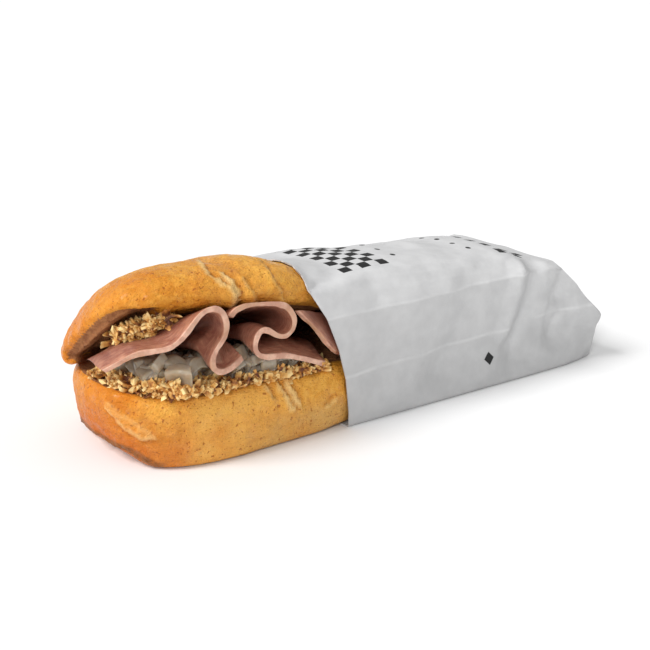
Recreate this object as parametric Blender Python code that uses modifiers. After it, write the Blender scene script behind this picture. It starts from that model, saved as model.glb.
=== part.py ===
"""A submarine sandwich: a hinged crusty roll with folded cold beef, diced white onion and
crisp fried onion, in a gusseted white paper sleeve that leaves the near end bare.

Metres, +Z up. +X runs from the bare end of the roll to the folded end of the sleeve, and
the roll is cut open along -Y. The origin is under the middle of the sandwich, on the table.
"""

import math
import random

import bmesh
import bpy
import numpy as np
from mathutils import Matrix, Vector, noise

# The roll's plan, from its bare tip to the heel inside the sleeve
BASE_TIP_X = -0.1115
LID_TIP_X = -0.1145
HEEL_X = 0.0985
TIP_ROUND = 0.044
HEEL_ROUND = 0.040
TIP_SKEW = 0.12
OUTLINE_POWER = 2.5
HALF_WIDTHS = ((-0.060, 0.0415), (-0.025, 0.0400), (-0.008, 0.0386), (0.060, 0.0384))
CUT_HEIGHTS = ((-0.120, 0.0295), (-0.103, 0.0290), (-0.089, 0.0272), (-0.056, 0.0262),
               (-0.035, 0.0246), (-0.018, 0.0262), (0.100, 0.0262))
FLOOR_LIFT = 0.0009

# The crust below the cut: share of the cut height, inset at the sides, inset at the tip
BASE_PROFILE = ((0.00, 0.0045, 0.0075), (0.03, 0.0020, 0.0046), (0.12, 0.0008, 0.0030),
                (0.30, 0.0001, 0.0018), (0.52, 0.0000, 0.0008), (0.74, 0.0008, 0.0001),
                (0.88, 0.0021, 0.0004), (0.97, 0.0033, 0.0014), (1.00, 0.0048, 0.0030),
                (1.00, 0.0110, 0.0100), (1.00, 0.0210, 0.0220))

# The lid turns open about a hinge line along the back
HINGE_Y = 0.0340
HINGE_Z = 0.0270
LID_ANGLES = ((-0.117, 26.0), (-0.110, 29.5), (-0.100, 30.5), (-0.090, 28.8), (-0.080, 27.2),
              (-0.058, 25.4), (-0.043, 22.8), (-0.036, 21.8), (-0.025, 18.8), (-0.015, 15.5),
              (-0.003, 13.2), (0.010, 12.0), (0.045, 11.2), (0.100, 9.0))
LID_HEIGHTS = ((-0.117, 0.0185), (-0.100, 0.0200), (-0.080, 0.0228), (-0.057, 0.0240),
               (-0.047, 0.0240), (-0.038, 0.0211), (-0.024, 0.0206), (-0.010, 0.0216),
               (0.012, 0.0224), (0.045, 0.0210), (0.070, 0.0184), (0.085, 0.0160),
               (0.100, 0.0110))
LID_SHIFTS = ((-0.050, -0.0030), (-0.024, 0.0), (0.010, 0.0012))
LID_PINCHES = ((-0.050, 0.0), (-0.034, 0.0014), (-0.024, 0.0036), (-0.010, 0.0034),
               (0.060, 0.0034))
RIM_PROFILE = ((0.0, 0.0210, 0.0230), (0.0, 0.0110, 0.0110), (0.0, 0.0040, 0.0036),
               (0.0009, 0.0016, 0.0016), (0.0026, 0.0004, 0.0004))
RIM_BULGE = 0.0050
DOME_POWER = 2.2
DOME_STEPS = 8

# The slash over the lid, in plan, and the relief of the crust
SLASH = ((-0.084, -0.006), (-0.068, -0.022), (-0.058, -0.038))
SLASH_DEPTH = 0.0012
SLASH_WIDTH = 0.0035
LUMP_SIZE = 0.022
LUMP_DEPTH = 0.0007
PLEAT_SIZE = 0.008
PLEAT_DEPTH = 0.0003

# The slot is filled between the cut faces, which lie this far off the filling
CUT_GAP = 0.0005
FIT_GAP = 0.0003

# Each slice of beef is drawn by its front edge: x, height, and how far forward it reaches
SLICE = 0.0023
SLICE_DEPTH = 0.031
SLICE_LIFT = 0.34
LIFT_RUN = 0.012
TRIM_X = -0.0980
TRIM_RUN = 0.0155
TRIM_SHARE = 0.58
SLICE_STEPS = 6
STRAIGHT_BACK = (0.0, 1.0)
INTO_SLEEVE = (0.92, 0.30)
EDGE_SPACING = 0.0022
LEFT_SLICE = (
    (-0.1135, 0.0382, -0.0195), (-0.1103, 0.0422, -0.0250), (-0.1064, 0.0467, -0.0315),
    (-0.0973, 0.0480, -0.0365), (-0.0933, 0.0503, -0.0385), (-0.0893, 0.0541, -0.0390),
    (-0.0861, 0.0578, -0.0395), (-0.0827, 0.0603, -0.0395), (-0.0787, 0.0608, -0.0400),
    (-0.0753, 0.0588, -0.0400), (-0.0740, 0.0545, -0.0405), (-0.0745, 0.0497, -0.0405),
    (-0.0772, 0.0464, -0.0405), (-0.0795, 0.0434, -0.0405), (-0.0804, 0.0401, -0.0405),
    (-0.0792, 0.0370, -0.0405), (-0.0753, 0.0358, -0.0405), (-0.0705, 0.0371, -0.0400),
    (-0.0662, 0.0391, -0.0390),
)
MIDDLE_SLICE = (
    (-0.0702, 0.0555, -0.0375), (-0.0688, 0.0578, -0.0385), (-0.0649, 0.0590, -0.0395),
    (-0.0595, 0.0593, -0.0400), (-0.0535, 0.0583, -0.0405), (-0.0481, 0.0563, -0.0405),
    (-0.0447, 0.0529, -0.0405), (-0.0434, 0.0489, -0.0405), (-0.0450, 0.0453, -0.0405),
    (-0.0482, 0.0440, -0.0405), (-0.0519, 0.0453, -0.0405), (-0.0555, 0.0480, -0.0405),
    (-0.0591, 0.0485, -0.0405), (-0.0609, 0.0458, -0.0405), (-0.0616, 0.0424, -0.0405),
    (-0.0601, 0.0391, -0.0405), (-0.0556, 0.0374, -0.0405), (-0.0479, 0.0363, -0.0400),
    (-0.0392, 0.0331, -0.0395), (-0.0319, 0.0299, -0.0385), (-0.0270, 0.0278, -0.0375),
)
RIGHT_SLICE = (
    (-0.0404, 0.0520, -0.0370), (-0.0380, 0.0490, -0.0375), (-0.0345, 0.0455, -0.0380),
    (-0.0305, 0.0410, -0.0380), (-0.0262, 0.0352, -0.0380), (-0.0215, 0.0312, -0.0375),
    (-0.0150, 0.0300, -0.0365),
)

# The layers of onion, as shares of the slot's height
CRISP_SHARES = ((-0.112, 0.20), (-0.094, 0.18), (-0.082, 0.09), (-0.020, 0.09))
CRISP_X = (-0.1045, -0.0240)
DICE_SHARE = 0.42
DICE_X = (-0.1000, -0.0300)
POCKET_X = (-0.1060, -0.0880)
DICE_SIZE = 0.0036
CRUMB_SIZE = 0.0019
WELD = 0.00001
BEEF_SAMPLES = 30
BEEF_REACH = (0.0022, 0.0011)

# The sleeve: mouth, then at stations along it the half widths of floor, gusset and top fold,
# the heights of gusset, front fold and back fold, and the height of the ridge
PAPER = 0.0005
MOUTH_LEAN = 0.0155
LEAN_TOP = 0.0580
LEAN_RUN = 0.036
RIDGE_SHIFT = -0.0080
FRONT_POWERS = ((-0.0175, 3.6), (-0.005, 3.2), (0.012, 2.6), (0.060, 2.4))
BACK_POWER = 2.0
ROOF_STEPS = 12
SLEEVE_STATIONS = (
    (-0.0175, 0.0402, 0.0405, 0.0389, 0.0204, 0.0463, 0.0340, 0.0654),
    (0.0110, 0.0402, 0.0405, 0.0389, 0.0211, 0.0456, 0.0340, 0.0608),
    (0.0410, 0.0402, 0.0405, 0.0389, 0.0217, 0.0460, 0.0345, 0.0582),
    (0.0680, 0.0402, 0.0404, 0.0388, 0.0226, 0.0462, 0.0365, 0.0549),
    (0.0760, 0.0402, 0.0398, 0.0386, 0.0228, 0.0469, 0.0375, 0.0534),
    (0.0870, 0.0401, 0.0378, 0.0370, 0.0230, 0.0459, 0.0385, 0.0492),
    (0.1025, 0.0399, 0.0376, 0.0371, 0.0230, 0.0447, 0.0425, 0.0452),
    (0.1120, 0.0386, 0.0384, 0.0377, 0.0212, 0.0326, 0.0316, 0.0330),
    (0.1215, 0.0367, 0.0398, 0.0397, 0.0185, 0.0204, 0.0204, 0.0208),
)
END_LEAN = 0.0015
PAPER_WAVE = 0.0003

# The middle of the length as drawn above, which is moved onto the origin
DRAWN_MIDDLE_X = 0.00316

COLOURS = {
    "roll": ((0.72, 0.40, 0.13), 0.62),
    "beef_slice": ((0.38, 0.20, 0.17), 0.42),
    "diced_onion": ((0.72, 0.70, 0.64), 0.25),
    "crisp_onion": ((0.66, 0.42, 0.17), 0.75),
    "paper_sleeve": ((0.80, 0.80, 0.80), 0.85),
}


def clear_scene():
    """Empties the scene, so that the sandwich stands alone."""
    for obj in list(bpy.data.objects):
        bpy.data.objects.remove(obj, do_unlink=True)


def make_material(name):
    """A plain shader in the colour and roughness of one food or of the paper."""
    colour, roughness = COLOURS[name]
    material = bpy.data.materials.new(name)
    material.use_nodes = True
    shader = material.node_tree.nodes["Principled BSDF"]
    shader.inputs["Base Color"].default_value = (*colour, 1.0)
    shader.inputs["Roughness"].default_value = roughness
    shader.inputs["Metallic"].default_value = 0.0
    return material


def along(table, x):
    """Reads a table of (x, value) rows at x, with its corners eased."""
    total = 0.0
    for step in (-0.005, 0.0, 0.005):
        place = min(max(x + step, table[0][0]), table[-1][0])
        for (x0, v0), (x1, v1) in zip(table, table[1:]):
            if place <= x1:
                total += v0 + (v1 - v0) * (place - x0) / (x1 - x0)
                break
    return total / 3


def ease(share):
    """Runs smoothly from 0 to 1."""
    share = min(max(share, 0.0), 1.0)
    return share * share * (3.0 - 2.0 * share)


def lay_rings(mesh, rings, first_cap, last_cap):
    """Skins a stack of closed rings, and zips a cap across the first and the last of them.

    Each ring starts on the middle line and is even about it, so point i faces point -i.
    """
    count = len(rings[0])
    stack = [[mesh.verts.new(point) for point in ring] for ring in rings]
    for low, high in zip(stack, stack[1:]):
        for i in range(count):
            j = (i + 1) % count
            mesh.faces.new((low[i], low[j], high[j], high[i]))
    caps = ([stack[0]] if first_cap else []) + ([stack[-1]] if last_cap else [])
    for ring in caps:
        for i in range(count // 2):
            corners = [ring[i], ring[i + 1], ring[-i - 1], ring[-i]]
            mesh.faces.new(list(dict.fromkeys(corners)))
    bmesh.ops.recalc_face_normals(mesh, faces=mesh.faces)
    return stack


def make_object(name, mesh, material, collection):
    """Turns the shape into a named object with its material, shaded smooth up to its creases."""
    data = bpy.data.meshes.new(name)
    mesh.to_mesh(data)
    mesh.free()
    data.materials.append(material)
    data.shade_smooth()
    data.set_sharp_from_angle(angle=math.radians(50))
    obj = bpy.data.objects.new(name, data)
    collection.objects.link(obj)
    return obj


# The roll

def crust_relief(x, y, z):
    """How far the crust swells at a point: broad lumps and fine pleats, pressed by the paper."""
    lump = noise.noise(Vector((x, y, z)) / LUMP_SIZE)
    pleat = noise.noise(Vector((x, 0.4 * y, 0.4 * z)) / PLEAT_SIZE)
    pressed = 0.8 * ease((x + 0.045) / 0.020)
    return (LUMP_DEPTH * lump + PLEAT_DEPTH * pleat) * (1.0 - pressed)


def slash_relief(x, y):
    """The groove that the baker's slash leaves over the lid."""
    nearest = 1.0
    here = Vector((x, y))
    for start, end in zip(SLASH, SLASH[1:]):
        run = Vector(end) - Vector(start)
        share = (here - Vector(start)).dot(run) / run.length_squared
        nearest = min(nearest, (here - Vector(start) - run * min(max(share, 0.0), 1.0)).length)
    return -SLASH_DEPTH * math.exp(-((nearest / SLASH_WIDTH) ** 2))


def half_outline(tip_x):
    """The places round the front half of the roll's plan, from the tip to the heel.

    Each is (x of the arc's middle, reach along x, share of the half width); the reach is
    negative round the tip, positive round the heel, and nought along the straight side.
    """
    power = 2.0 / OUTLINE_POWER
    places = []
    for i in range(10):
        turn = 0.5 * math.pi * i / 9
        places.append((tip_x + TIP_ROUND, -math.cos(turn) ** power, math.sin(turn) ** power))
    start, end = tip_x + TIP_ROUND, HEEL_X - HEEL_ROUND
    for x in [start + 0.0047 * i for i in range(1, 13)]:
        places.append((x, 0.0, 1.0))
    for i in range(1, 7):
        x = start + 0.0564 + (end - start - 0.0564) * i / 7
        places.append((x, 0.0, 1.0))
    for i in range(7):
        turn = 0.5 * math.pi * (1 - i / 6)
        places.append((end, math.cos(turn) ** power, math.sin(turn) ** power))
    return places


def roll_ring(tip_x, side_inset, end_inset, place):
    """One closed ring round the roll. place(x, y) gives the ring's point at a spot in plan."""
    front = []
    for middle, reach, share in half_outline(tip_x):
        radius = TIP_ROUND if reach < 0 else HEEL_ROUND
        x = middle + reach * (radius - end_inset(radius))
        y = -share * (along(HALF_WIDTHS, x) - side_inset(x))
        front.append((x, y, TIP_SKEW * min(reach, 0.0)))
    back = [(x, -y, skew) for x, y, skew in reversed(front[1:-1])]
    return [place(x - skew * y, y) for x, y, skew in front + back]


def base_rings():
    """The rings of the lower half, from the floor up its side and in over the cut face."""
    rings = []
    for share, side, tip in BASE_PROFILE:

        def place(x, y):
            height = share * along(CUT_HEIGHTS, x)
            lift = FLOOR_LIFT * ease((x + 0.030) / 0.008) * (1.0 - share)
            out = Vector((min(x - BASE_TIP_X - TIP_ROUND, 0.0), y, 0.0))
            swell = crust_relief(x, y, height) if 0.0 < share < 1.0 else 0.0
            return Vector((x, y, height + lift)) + swell * out.normalized()

        rings.append(roll_ring(BASE_TIP_X, lambda x: side, lambda radius: tip, place))
    return rings


def open_lid(x, y, height):
    """Turns a point of the shut lid up about the hinge by the lid's opening there."""
    angle = math.radians(along(LID_ANGLES, x))
    reach = HINGE_Y - y
    hinge_y = HINGE_Y + along(LID_SHIFTS, x)
    return Vector((x,
                   hinge_y - reach * math.cos(angle) + height * math.sin(angle),
                   HINGE_Z + reach * math.sin(angle) + height * math.cos(angle)))


def lid_rings():
    """The rings of the lid, from its cut face out round the rim and up over the dome."""
    rings = []
    for height, side, tip in RIM_PROFILE:
        rings.append(roll_ring(LID_TIP_X, lambda x: side + along(LID_PINCHES, x),
                               lambda radius: tip, lambda x, y: open_lid(x, y, height)))
    for step in range(DOME_STEPS):
        turn = 0.5 * math.pi * step / DOME_STEPS
        across = math.cos(turn) ** (2.0 / DOME_POWER)
        rise = math.sin(turn) ** (2.0 / DOME_POWER)

        def place(x, y):
            crown = along(LID_HEIGHTS, x) - RIM_BULGE
            swell = crust_relief(x, y, 0.05 + rise * crown) + slash_relief(x, y)
            return open_lid(x, y * (1.0 + swell / 0.04), RIM_BULGE + rise * crown + rise * swell)

        def inset(x):
            width = along(HALF_WIDTHS, x)
            return width - across * (width - along(LID_PINCHES, x))

        rings.append(roll_ring(LID_TIP_X, inset, lambda radius: (1.0 - across) * radius, place))
    return rings


def make_roll(material, collection, helpers):
    """The two halves of the roll, joined along the hinge that the knife left at the back."""
    base = bmesh.new()
    lay_rings(base, base_rings(), True, True)
    roll = make_object("roll", base, material, collection)
    lid = bmesh.new()
    lay_rings(lid, lid_rings(), True, True)
    join(roll, [make_object("roll_lid", lid, material, helpers)], helpers)
    return roll


def join(obj, pieces, helpers):
    """Fuses the pieces onto the object, drops any loose scrap, and removes the pieces."""
    modifier = obj.modifiers.new("Join", "BOOLEAN")
    modifier.operation = "UNION"
    modifier.solver = "EXACT"
    modifier.operand_type = "COLLECTION"
    modifier.collection = helpers
    graph = bpy.context.evaluated_depsgraph_get()
    joined = bpy.data.meshes.new_from_object(obj.evaluated_get(graph))
    obj.modifiers.remove(modifier)
    obj.data = joined
    for piece in pieces:
        bpy.data.objects.remove(piece, do_unlink=True)
    keep_body(joined)


def keep_body(data):
    """Keeps the largest closed body of a mesh and welds its doubled points."""
    mesh = bmesh.new()
    mesh.from_mesh(data)
    bmesh.ops.remove_doubles(mesh, verts=mesh.verts, dist=WELD)
    bmesh.ops.triangulate(mesh, faces=mesh.faces)
    left = set(mesh.faces)
    bodies = []
    while left:
        queue = [left.pop()]
        body = set(queue)
        while queue:
            for edge in queue.pop().edges:
                near = [face for face in edge.link_faces if face in left]
                left.difference_update(near)
                body.update(near)
                queue.extend(near)
        bodies.append(body)
    bodies.sort(key=len)
    loose = [face for body in bodies[:-1] for face in body]
    bmesh.ops.delete(mesh, geom=loose, context="FACES")
    bmesh.ops.delete(mesh, geom=[v for v in mesh.verts if not v.link_faces], context="VERTS")
    mesh.to_mesh(data)
    mesh.free()


# The slot and the beef

def slot_height(x, y, share):
    """The height of a layer of the filling: share 0 is on the lower cut face, 1 under the lid."""
    floor = along(CUT_HEIGHTS, x) + CUT_GAP
    hinge_y = HINGE_Y + along(LID_SHIFTS, x)
    ceiling = HINGE_Z - CUT_GAP + (hinge_y - y) * math.tan(math.radians(along(LID_ANGLES, x)))
    return floor + share * (ceiling - floor)


def slot_share(x, y, height):
    """The share of the slot's height at which a height lies."""
    floor = slot_height(x, y, 0.0)
    return (height - floor) / (slot_height(x, y, 1.0) - floor)


def draped(share, behind):
    """Lifts a layer that hangs down at the front as it runs back over the onion."""
    return share + (1.0 - share) * SLICE_LIFT * ease(behind / LIFT_RUN)


def smooth_path(points):
    """A smooth path through the points, cut into even steps."""
    fine = []
    for i in range(len(points) - 1):
        p0, p1, p2, p3 = [Vector(points[min(max(i + k, 0), len(points) - 1)]) for k in (-1, 0, 1, 2)]
        for step in range(8):
            t = step / 8
            fine.append(0.5 * (2 * p1 + (p2 - p0) * t + (2 * p0 - 5 * p1 + 4 * p2 - p3) * t * t
                               + (3 * p1 - p0 - 3 * p2 + p3) * t * t * t))
    fine.append(Vector(points[-1]))
    lengths = [0.0]
    for a, b in zip(fine, fine[1:]):
        lengths.append(lengths[-1] + (b - a).length)
    count = round(lengths[-1] / EDGE_SPACING)
    path = []
    for i in range(count + 1):
        want = lengths[-1] * i / count
        k = min(max(j for j, length in enumerate(lengths) if length <= want), len(fine) - 2)
        path.append(fine[k].lerp(fine[k + 1], (want - lengths[k]) / (lengths[k + 1] - lengths[k])))
    return path


def slice_outline(points, run):
    """The front edge of a slice as a closed outline: (x, share, front) round both faces.

    The slice's thickness is square to its edge and to its run in plan.
    """
    path = smooth_path(points)
    sides = ([], [])
    for i, here in enumerate(path):
        ahead = path[min(i + 1, len(path) - 1)] - path[max(i - 1, 0)]
        out = Vector((ahead.x, 0.0, ahead.y)).cross(Vector((*run, 0.0))).normalized()
        for side, sign in zip(sides, (1.0, -1.0)):
            x = here.x + sign * out.x * SLICE / 2
            front = here.z + sign * out.y * SLICE / 2
            height = here.y + sign * out.z * SLICE / 2
            share = min(max(slot_share(x, front, height), 0.01), 0.985)
            side.append((x, share, front))
    return sides[0] + sides[1][::-1]


def slice_point(spot, share_back, run):
    """A point of a slice at a share of its depth, which the round tip of the roll trims."""
    x, share, front = spot
    depth = share_back * SLICE_DEPTH * (1.0 - TRIM_SHARE * ease((TRIM_X - x) / TRIM_RUN))
    x, y = x + run[0] * depth, front + run[1] * depth
    return Vector((x, y, slot_height(x, y, draped(share, run[1] * depth))))


def make_slice(name, outline, run, material, collection):
    """One folded slice, its front edge carried back into the slot along its run in plan."""
    rings = []
    for step in range(SLICE_STEPS):
        share_back = (step / (SLICE_STEPS - 1)) ** 1.3
        rings.append([slice_point(spot, share_back, run) for spot in outline])
    mesh = bmesh.new()
    count = len(outline)
    stack = [[mesh.verts.new(point) for point in ring] for ring in rings]
    for front, back in zip(stack, stack[1:]):
        for i in range(count):
            j = (i + 1) % count
            mesh.faces.new((front[i], front[j], back[j], back[i]))
    for ring in (stack[0], stack[-1]):
        for i in range(count // 2 - 1):
            mesh.faces.new((ring[i], ring[i + 1], ring[count - i - 2], ring[count - i - 1]))
    bmesh.ops.recalc_face_normals(mesh, faces=mesh.faces)
    return make_object(name, mesh, material, collection)


# The heaps of onion

def beef_samples(slices):
    """Points all over the slices, as an array with one row each."""
    shares = [step / BEEF_SAMPLES for step in range(BEEF_SAMPLES + 1)]
    return np.array([slice_point(spot, share, run)
                     for outline, run in slices for spot in outline for share in shares])


def beef_heights(beef, x, y):
    """The lowest and the highest that the beef lies near a spot in plan, or None clear of it."""
    near = beef[(np.abs(beef[:, :2] - (x, y)) < BEEF_REACH).all(axis=1), 2]
    return (near.min(), near.max()) if len(near) else None


def crisp_top(beef, x, y):
    """The height that the crisp onion on the lower cut face may reach."""
    height = slot_height(x, y, along(CRISP_SHARES, x))
    heights = beef_heights(beef, x, y)
    return min(height, heights[0] - FIT_GAP) if heights else height


def dice_top(beef, x, y):
    """The height that the diced onion under the beef may reach."""
    height = slot_height(x, y, DICE_SHARE)
    heights = beef_heights(beef, x, y)
    return min(height, heights[0] - FIT_GAP) if heights else height


def pocket_floor(beef, x, y):
    """The top of the beef, where crisp onion lies on it in the pocket under the lid."""
    heights = beef_heights(beef, x, y)
    return (heights[1] if heights else slot_height(x, y, 0.5)) + FIT_GAP


def grid_steps(span, count):
    """Even steps from one end of a span to the other."""
    return [span[0] + (span[1] - span[0]) * i / count for i in range(count + 1)]


def heap_core(heap, columns, rows):
    """The slab of a heap: a grid of columns and rows with a face below and one above."""
    mesh = bmesh.new()
    low, high = [], []
    for x in grid_steps(heap["span"], columns):
        front, back = heap["front"](x), heap["back"](x)
        line = [(x, y, heap["low"](x, y), heap["high"](x, y)) for y in grid_steps((front, back), rows)]
        low.append([mesh.verts.new((x, y, floor)) for x, y, floor, _ in line])
        high.append([mesh.verts.new((x, y, floor + heap["fill"] * (top - floor)))
                     for x, y, floor, top in line])
    for i in range(columns):
        for j in range(rows):
            mesh.faces.new((low[i][j], low[i][j + 1], low[i + 1][j + 1], low[i + 1][j]))
            mesh.faces.new((high[i][j], high[i + 1][j], high[i + 1][j + 1], high[i][j + 1]))
        for j in (0, rows):
            mesh.faces.new((low[i][j], low[i + 1][j], high[i + 1][j], high[i][j]))
    for j in range(rows):
        for i in (0, columns):
            mesh.faces.new((low[i][j], low[i][j + 1], high[i][j + 1], high[i][j]))
    bmesh.ops.recalc_face_normals(mesh, faces=mesh.faces)
    return mesh


def heap_room(heap, x, y, reach):
    """The highest floor and the lowest ceiling over the patch that a piece would cover."""
    steps = (-reach, 0.0, reach)
    spots = [(x + dx, y + dy) for dx in steps for dy in steps]
    return (max(heap["low"](*spot) for spot in spots), min(heap["high"](*spot) for spot in spots))


def heap_pieces(heap, draws, material, helpers):
    """The pieces that show along the front and the top of a heap, moved to where they fit."""
    pieces = []
    for number in range(heap["pieces"]):
        x = heap["span"][0] + (heap["span"][1] - heap["span"][0]) * (number + 0.5) / heap["pieces"]
        size = heap["size"] * draws.uniform(0.75, 1.15)
        y = heap["front"](x) + draws.uniform(-0.5, 1.4) * size
        floor, ceiling = heap_room(heap, x, y, size)
        half = min(size, (ceiling - floor) / 2 - 0.0001)
        if half < 0.4 * size:
            continue
        height = draws.uniform(floor + half, ceiling - half)
        mesh = bmesh.new()
        if heap["cubes"]:
            bmesh.ops.create_cube(mesh, size=1.4)
        else:
            bmesh.ops.create_icosphere(mesh, subdivisions=1, radius=1.0)
        for vert in mesh.verts:
            vert.co *= draws.uniform(0.82, 1.0)
            vert.co = Vector((x + size * vert.co.x, y + size * vert.co.y, height + half * vert.co.z))
        pieces.append(make_object(f"{heap['name']}_piece_{number}", mesh, material, helpers))
    return pieces


def ripple(x):
    """How far a heap's front edge wanders."""
    return 0.0012 * noise.noise(Vector((x * 120.0, 0.3, 0.0)))


def make_heap(heap, columns, rows, draws, material, collection, helpers):
    """A heap of onion as one body: its slab with the pieces that show fused on."""
    core = make_object(heap["name"], heap_core(heap, columns, rows), material, collection)
    join(core, heap_pieces(heap, draws, material, helpers), helpers)
    return core


def make_heaps(slices, materials, collection, helpers):
    """The crisp onion on the bread, the diced onion over it, and the crisp onion in the pocket."""
    draws = random.Random(30)
    beef = beef_samples(slices)
    left_outline = slices[0][0]
    fold_x = min(left_outline, key=lambda spot: spot[1])[0]
    crisp = {
        "name": "crisp_onion_layer", "span": CRISP_X, "fill": 0.75, "pieces": 46,
        "size": CRUMB_SIZE, "cubes": False,
        "front": lambda x: -0.0365 + 0.0150 * ease((-0.090 - x) / 0.020) + ripple(x),
        "back": lambda x: 0.0020,
        "low": lambda x, y: slot_height(x, y, 0.0),
        "high": lambda x, y: crisp_top(beef, x, y),
    }
    dice = {
        "name": "diced_onion", "span": DICE_X, "fill": 0.8, "pieces": 15,
        "size": DICE_SIZE, "cubes": True,
        "front": lambda x: (-0.0325 + 0.0100 * math.exp(-((x - fold_x) / 0.008) ** 2)
                            + 0.0060 * ease((-0.084 - x) / 0.016) + ripple(x)),
        "back": lambda x: 0.0010,
        "low": lambda x, y: crisp_top(beef, x, y) + FIT_GAP,
        "high": lambda x, y: dice_top(beef, x, y),
    }
    pocket = {
        "name": "crisp_onion_pocket", "span": POCKET_X, "fill": 0.7, "pieces": 12,
        "size": CRUMB_SIZE, "cubes": False,
        "front": lambda x: -0.0190 - 0.0070 * ease((x + 0.106) / 0.016) + ripple(x),
        "back": lambda x: -0.0110,
        "low": lambda x, y: pocket_floor(beef, x, y),
        "high": lambda x, y: min(pocket_floor(beef, x, y) + 0.0075, slot_height(x, y, 0.97)),
    }
    make_heap(crisp, 34, 5, draws, materials["crisp_onion"], collection, helpers)
    make_heap(dice, 22, 5, draws, materials["diced_onion"], collection, helpers)
    make_heap(pocket, 9, 4, draws, materials["crisp_onion"], collection, helpers)


# The sleeve

def sleeve_station(x):
    """The sleeve's half widths and heights at x, read between its stations."""
    for start, end in zip(SLEEVE_STATIONS, SLEEVE_STATIONS[1:]):
        if x <= end[0]:
            share = (x - start[0]) / (end[0] - start[0])
            return [a + (b - a) * share for a, b in zip(start[1:], end[1:])]
    return list(SLEEVE_STATIONS[-1][1:])


def sleeve_ring(x):
    """One closed ring of paper at x, from the middle of its floor round by the front."""
    floor, gusset, fold, gusset_z, fold_z, back_z, ridge_z = sleeve_station(x)
    front = [(0.0, 0.0), (-floor / 2, 0.0), (-floor + 0.001, 0.0), (-floor, 0.001),
             (-(floor + gusset) / 2, gusset_z / 2), (-gusset, gusset_z),
             (-(gusset + fold) / 2, (gusset_z + fold_z) / 2), (-fold, fold_z)]
    roof = []
    for i in range(1, ROOF_STEPS):
        across = -math.cos(math.pi * i / ROOF_STEPS)
        power, edge_z = (along(FRONT_POWERS, x), fold_z) if across < 0 else (BACK_POWER, back_z)
        rise = (1.0 - abs(across) ** power) ** (1.0 / power)
        y = fold * across + RIDGE_SHIFT * (1.0 - across * across)
        roof.append((y, edge_z + (ridge_z - edge_z) * rise))
    back = [(fold, back_z), ((gusset + fold) / 2, (gusset_z + back_z) / 2)]
    back += [(-y, z) for y, z in reversed(front[1:-2])]
    mouth_x, end_x = SLEEVE_STATIONS[0][0], SLEEVE_STATIONS[-1][0]
    lean = MOUTH_LEAN * (1.0 - ease((x - mouth_x) / LEAN_RUN))
    ring = []
    for y, z in front + roof + back:
        slant = -lean * min(z / LEAN_TOP, 1.0) ** 2.2 * (1.0 - 0.7 * ease(y / fold))
        slant -= END_LEAN * ease((x - end_x + 0.010) / 0.010) * (1.0 - z / ridge_z)
        wave = PAPER_WAVE * noise.noise(Vector((x + slant, y, z)) / 0.013)
        out = Vector((0.0, y, z - 0.020)).normalized()
        ring.append(Vector((x + slant, y, z)) + (wave * out if z > 0.002 else Vector()))
    return ring


def make_sleeve(material, collection):
    """The paper sleeve: open at the mouth, with its folded end shut by one flat panel."""
    xs = [SLEEVE_STATIONS[0][0]]
    for start, end in zip(SLEEVE_STATIONS, SLEEVE_STATIONS[1:]):
        count = max(1, round((end[0] - start[0]) / 0.0075))
        xs.extend(start[0] + (end[0] - start[0]) * (i + 1) / count for i in range(count))
    mesh = bmesh.new()
    rings = lay_rings(mesh, [sleeve_ring(x) for x in xs], False, False)
    bmesh.ops.poke(mesh, faces=[mesh.faces.new(rings[-1])])
    bmesh.ops.recalc_face_normals(mesh, faces=mesh.faces)
    floor = min(mesh.faces, key=lambda face: face.calc_center_median().z)
    if floor.normal.z > 0:
        bmesh.ops.reverse_faces(mesh, faces=mesh.faces)
    sleeve = make_object("paper_sleeve", mesh, material, collection)
    shell = sleeve.modifiers.new("Paper", "SOLIDIFY")
    shell.thickness = PAPER
    shell.offset = -1.0
    shell.use_even_offset = True
    return sleeve


def main():
    """Builds the sandwich in its own collection, and its helpers in another."""
    clear_scene()
    collection = bpy.data.collections.new("submarine_sandwich")
    helpers = bpy.data.collections.new("helpers")
    for each in (collection, helpers):
        bpy.context.scene.collection.children.link(each)
    helpers.hide_render = True
    materials = {name: make_material(name) for name in COLOURS}
    make_roll(materials["roll"], collection, helpers)
    names = ("beef_slice_left", "beef_slice_middle", "beef_slice_right")
    slices = [(slice_outline(LEFT_SLICE, STRAIGHT_BACK), STRAIGHT_BACK),
              (slice_outline(MIDDLE_SLICE, STRAIGHT_BACK), STRAIGHT_BACK),
              (slice_outline(RIGHT_SLICE, INTO_SLEEVE), INTO_SLEEVE)]
    for name, (outline, run) in zip(names, slices):
        make_slice(name, outline, run, materials["beef_slice"], collection)
    make_heaps(slices, materials, collection, helpers)
    make_sleeve(materials["paper_sleeve"], collection)
    for obj in collection.objects:
        obj.data.transform(Matrix.Translation((-DRAWN_MIDDLE_X, 0.0, 0.0)))


main()
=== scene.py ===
# %% [markdown]
# # A submarine sandwich in its paper sleeve
#
# The shapes of the sandwich come from a CAD model, which is loaded first and never moved.
# Each of its solids is then replaced by a finer piece that keeps its form: a crusty roll,
# folded slices of cold beef, chunks of raw onion, crisp fried onion, and a paper sleeve.
# Lengths are in metres. +X runs along the roll towards the sleeve's folded end, the roll is
# cut open on the -Y side, and +Z is up.

# %% [markdown]
# The CAD solids are loaded first, with their placements applied to their points.

# %% Load the frame
import math
import random

import bpy
import numpy as np
from mathutils import Matrix, Vector, noise
from mathutils.bvhtree import BVHTree


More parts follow.
